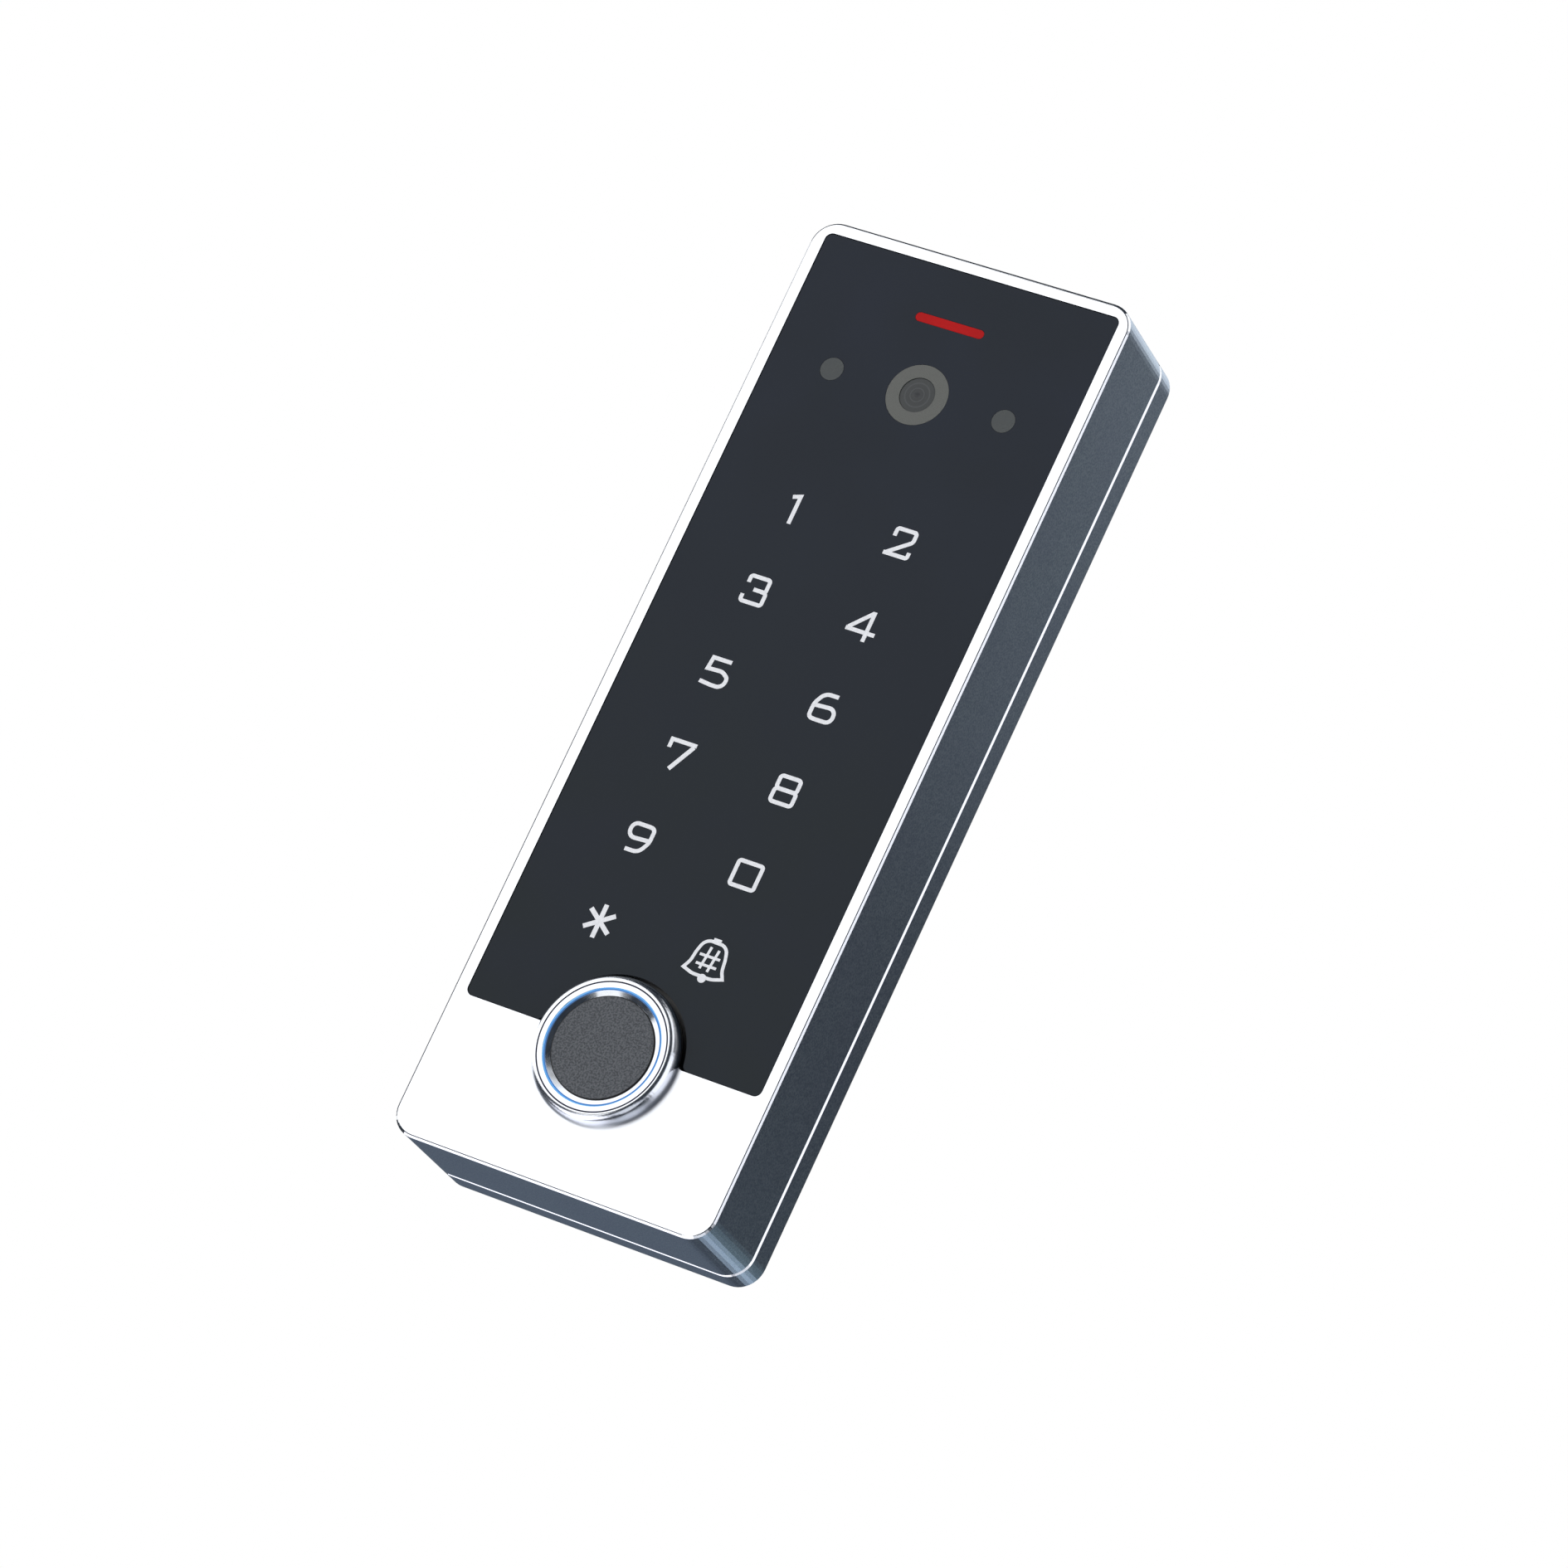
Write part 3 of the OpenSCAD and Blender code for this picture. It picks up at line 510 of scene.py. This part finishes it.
PAINTS = {
    "front_shell": lambda: case_metal("front_shell_metal", FACE_Y, FACE_Y + 0.3 * MM),
    "rear_cover": lambda: case_metal("rear_cover_metal", SEAM_Y, SEAM_Y + 0.4 * MM),
    "touch_panel": glass_black,
    "key_legends": print_white,
    "status_lens": status_red,
    "camera_bezel": lens_ring,
    "camera_lens": lens_glass,
    "ir_window_left": lambda: infrared_window("ir_smoke_left"),
    "ir_window_right": lambda: infrared_window("ir_smoke_right"),
    "bezel_ring": bezel_metal,
    "light_ring": reader_glow,
    "sensor_collar": collar_metal,
    "sensor_pad": pad_grain,
    "wall_plate": zinc_sheet,
    "catch_spring": spring_steel,
    "catch_rivets": lambda: screw_steel("rivet_steel"),
    "case_seal": lambda: rubber("seal_rubber", shade(40, 42, 44), shade(52, 54, 56)),
    "cover_screws": lambda: screw_steel("cover_screw_steel"),
    "cable_grommet": lambda: rubber("grommet_rubber", shade(24, 25, 27), shade(38, 39, 41)),
    "panel_tape": lambda: tape("panel_tape_foam", shade(30, 31, 34), shade(48, 49, 52)),
    "board_tape": lambda: tape("board_tape_foam", shade(200, 198, 190), shade(220, 218, 210)),
    "light_guide": lambda: clear_guide("key_light_guide"),
    "light_pipe": lambda: clear_guide("status_light_pipe"),
    "key_leds": lambda: led_package("key_led_white"),
    "status_leds": lambda: led_package("status_led_white"),
    "ring_leds": lambda: led_package("ring_led_white"),
    "ir_leds": lambda: plastic("ir_led_lens", shade(116, 120, 140), shade(136, 140, 158), 0.16),
    "touch_board": lambda: circuit_board(
        "touch_board_mask", shade(18, 62, 38), shade(34, 92, 56)),
    "camera_board": lambda: circuit_board(
        "camera_board_mask", shade(16, 56, 40), shade(32, 86, 60)),
    "sensor_board": lambda: circuit_board(
        "sensor_board_mask", shade(18, 50, 34), shade(36, 80, 54)),
    "led_board": lambda: circuit_board("led_board_mask", shade(20, 58, 36), shade(40, 92, 58)),
    "main_board": lambda: circuit_board("main_board_mask", shade(14, 58, 36), shade(30, 90, 54)),
    "rfid_coil": copper_coil,
    "ferrite_sheet": ferrite,
    "touch_flex": lambda: ribbon("touch_ribbon"),
    "camera_flex": lambda: ribbon("camera_ribbon"),
    "sensor_flex": lambda: ribbon("sensor_ribbon"),
    "lens_barrel": lambda: plastic("barrel_black", shade(18, 19, 20), shade(30, 31, 33), 0.5),
    "lens_holder": lambda: plastic("holder_black", shade(22, 23, 24), shade(34, 35, 37), 0.55),
    "image_sensor": sensor_die,
    "ring_seal": lambda: rubber("ring_seal_rubber", shade(26, 27, 29), shade(40, 41, 43)),
    "sensor_holder": lambda: plastic("reader_holder_black", shade(24, 25, 26), shade(36, 37, 39)),
    "sensor_nut": lambda: screw_steel("reader_nut_steel"),
    "board_screws": lambda: screw_steel("board_screw_steel"),
    "processor": lambda: chip_epoxy("processor_epoxy"),
    "memory_chips": lambda: chip_epoxy("memory_epoxy"),
    "shield_can": lambda: tinned_can("shield_tin"),
    "radio_module": lambda: tinned_can("radio_tin"),
    "lock_relay": lambda: plastic("relay_blue", shade(28, 78, 160), shade(38, 92, 178), 0.35),
    "buzzer": lambda: plastic("buzzer_black", shade(22, 22, 24), shade(36, 36, 38), 0.5),
    "wire_terminal": lambda: plastic("terminal_green", shade(32, 128, 64), shade(48, 146, 78), 0.4),
    "power_parts": lambda: plastic("power_grey", shade(64, 66, 70), shade(92, 94, 98), 0.4),
    "clock_cell": lambda: tinned_can("cell_steel"),
    "flex_sockets": lambda: plastic(
        "socket_ivory", shade(206, 200, 182), shade(226, 220, 204), 0.4),
    "tamper_switch": lambda: plastic("tamper_switch_black", shade(26, 26, 28), shade(40, 40, 42)),
    "tamper_spring": lambda: spring_steel("tamper_spring_steel"),
    "tamper_plunger": lambda: plastic(
        "tamper_white", shade(226, 224, 216), shade(240, 238, 232), 0.4),
    "reset_switch": lambda: plastic("reset_grey", shade(120, 122, 126), shade(146, 148, 150), 0.35),
    "reset_plunger": lambda: plastic("reset_black", shade(30, 30, 32), shade(44, 44, 46), 0.4),
}


def paint_nodes():
    for name, make in PAINTS.items():
        mesh_slots = nodes[name].material_slots
        material = make().material
        if not mesh_slots:
            nodes[name].data.materials.append(material)
        for each in nodes[name].material_slots:
            each.material = material


# ---- Light and surroundings -------------------------------------------------------


def softbox(name, place, width, height, radiance, colour=(1, 1, 1)):
    """A rectangular light that faces the case, as bright as radiance wherever it is seen.

    Its place is measured from the middle of the case.
    """
    data = bpy.data.lights.new(name, "AREA")
    data.shape = "RECTANGLE"
    data.size = width
    data.size_y = height
    data.energy = radiance * math.pi * width * height
    data.color = colour
    light = bpy.data.objects.new(name, data)
    bpy.context.scene.collection.objects.link(light)
    light.location = CASE_MIDDLE + place
    light.rotation_euler = place.to_track_quat("Z", "Y").to_euler()
    light.visible_camera = False


def light_studio():
    """Big soft sources in front, and small cool ones behind that shape the sides and corners."""
    softbox("key", aimed(-53, 20) * 1.3, 3.0, 1.9, 1.3)
    softbox("right_strip", aimed(80.6, 2) * 1.1, 1.19, 1.1, 1.2, (0.94, 0.95, 1.0))
    softbox("right_low", aimed(44, -46) * 1.1, 0.7, 0.6, 0.8, (0.9, 0.93, 1.0))
    softbox("right_high", aimed(64, 54) * 1.1, 0.45, 0.95, 1.1)
    softbox("low_fill", aimed(-40, -66) * 1.1, 1.0, 0.9, 1.5, (0.93, 0.93, 1.0))
    softbox("low_front", aimed(-14, -30) * 1.3, 0.45, 0.35, 1.2)
    softbox("low_back_wide", aimed(157, -12), 0.4, 0.5, 0.175, (0.57, 0.87, 1.0))
    softbox("low_back_tight", aimed(164, -27), 0.3, 0.3, 0.8, (0.66, 0.82, 1.0))
    softbox("left_back", aimed(-154, -16), 0.6, 0.5, 0.15, (0.62, 0.77, 1.0))
    softbox("top_back", Vector((0.06, 0.38, 0.22)), 0.28, 0.26, 0.18, (0.74, 0.88, 1.0))
    softbox("top_corner", Vector((-0.02, 0.366, 0.27)), 0.26, 0.18, 0.9, (0.84, 0.92, 1.0))


def surroundings():
    """White behind the object, and a dim blue-grey room in what it reflects."""
    world = bpy.data.worlds.new("studio")
    bpy.context.scene.world = world
    world.use_nodes = True
    tree = world.node_tree
    tree.nodes.clear()
    out = tree.nodes.new("ShaderNodeOutputWorld")
    choose = tree.nodes.new("ShaderNodeMixShader")
    path = tree.nodes.new("ShaderNodeLightPath")
    room = tree.nodes.new("ShaderNodeBackground")
    backdrop = tree.nodes.new("ShaderNodeBackground")
    room.inputs["Color"].default_value = (0.62, 0.77, 1.0, 1)
    room.inputs["Strength"].default_value = 0.042
    backdrop.inputs["Color"].default_value = (1, 1, 1, 1)
    backdrop.inputs["Strength"].default_value = 1.0
    tree.links.new(path.outputs["Is Camera Ray"], choose.inputs[0])
    tree.links.new(room.outputs[0], choose.inputs[1])
    tree.links.new(backdrop.outputs[0], choose.inputs[2])
    tree.links.new(choose.outputs[0], out.inputs["Surface"])


def make_floor():
    """Plain pale floor, well below the terminal, which hangs on a wall."""
    drop = 0.95
    side = 30
    mesh = bpy.data.meshes.new("floor")
    corners = [
        (-side, -side, -drop), (side, -side, -drop), (side, side, -drop), (-side, side, -drop)]
    mesh.from_pydata(corners, [], [(0, 1, 2, 3)])
    floor = bpy.data.objects.new("floor", mesh)
    bpy.context.scene.collection.objects.link(floor)
    paint = Paint("floor_pale", shade(240, 240, 238), 0.8, plain={"Emission Strength": 0.78})
    paint.shader.inputs["Emission Color"].default_value = (1, 1, 1, 1)
    paint.drive("Base Color", paint.mottle(0.4, shade(238, 238, 236), shade(242, 242, 240)))
    mesh.materials.append(paint.material)
    floor.visible_glossy = False
    floor.visible_diffuse = False


make_camera()
paint_nodes()
light_studio()
surroundings()
make_floor()
bpy.context.scene.view_settings.view_transform = "Standard"
